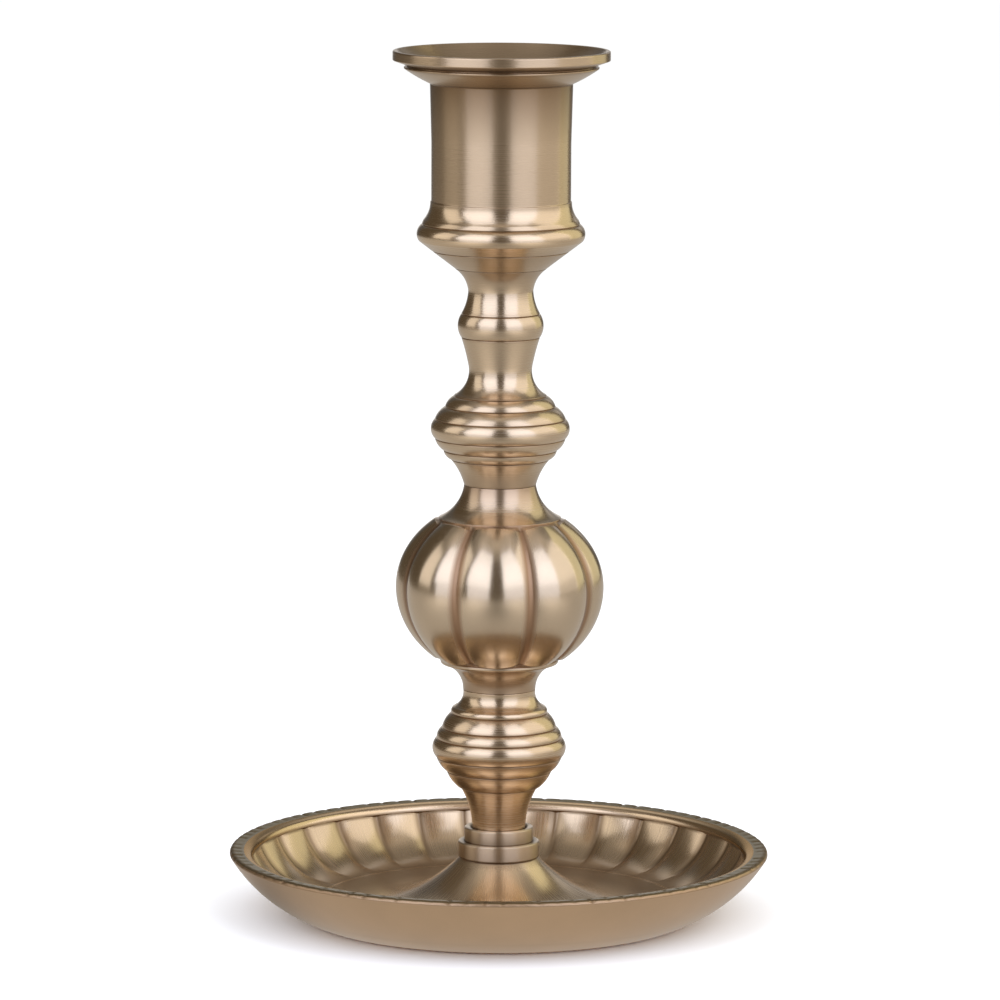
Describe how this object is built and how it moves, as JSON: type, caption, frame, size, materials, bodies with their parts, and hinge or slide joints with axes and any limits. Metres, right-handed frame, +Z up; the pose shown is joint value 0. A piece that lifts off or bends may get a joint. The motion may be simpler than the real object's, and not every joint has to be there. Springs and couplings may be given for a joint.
{
  "type": "candle stand",
  "caption": "Turned metal candle stand: straight candle cup on a ribbed stem with a fluted ball, standing in a wide shallow saucer with a fluted inside wall.",
  "frame": {"origin": "middle of the foot ring, on the table that the saucer stands on", "axes": "+Z up along the axis of the stem and the candle; -Y is the side that the picture shows"},
  "size_m": [0.1182, 0.1182, 0.1901],
  "materials": {
    "dish_brass": "antique brass, satin outside and polished inside, with a milled rim",
    "collar_brass": "antique brass, finely turned",
    "stem_brass": "antique brass, satin, with turning lines",
    "ball_brass": "antique brass, satin lobes with darker grooves",
    "cup_brass": "antique brass, satin, with turning lines",
    "plated_steel": "zinc plated",
    "spring_steel": "oiled spring steel"
  },
  "bodies": {
    "root": {"dish": "dish_brass", "foot_collar": "collar_brass", "lower_stem": "stem_brass", "fluted_ball": "ball_brass", "upper_stem": "stem_brass", "candle_cup": "cup_brass", "tie_rod": "plated_steel", "flat_washer": "plated_steel", "spring_washer": "spring_steel", "hex_nut": "plated_steel"}
  },
  "joints": []
}
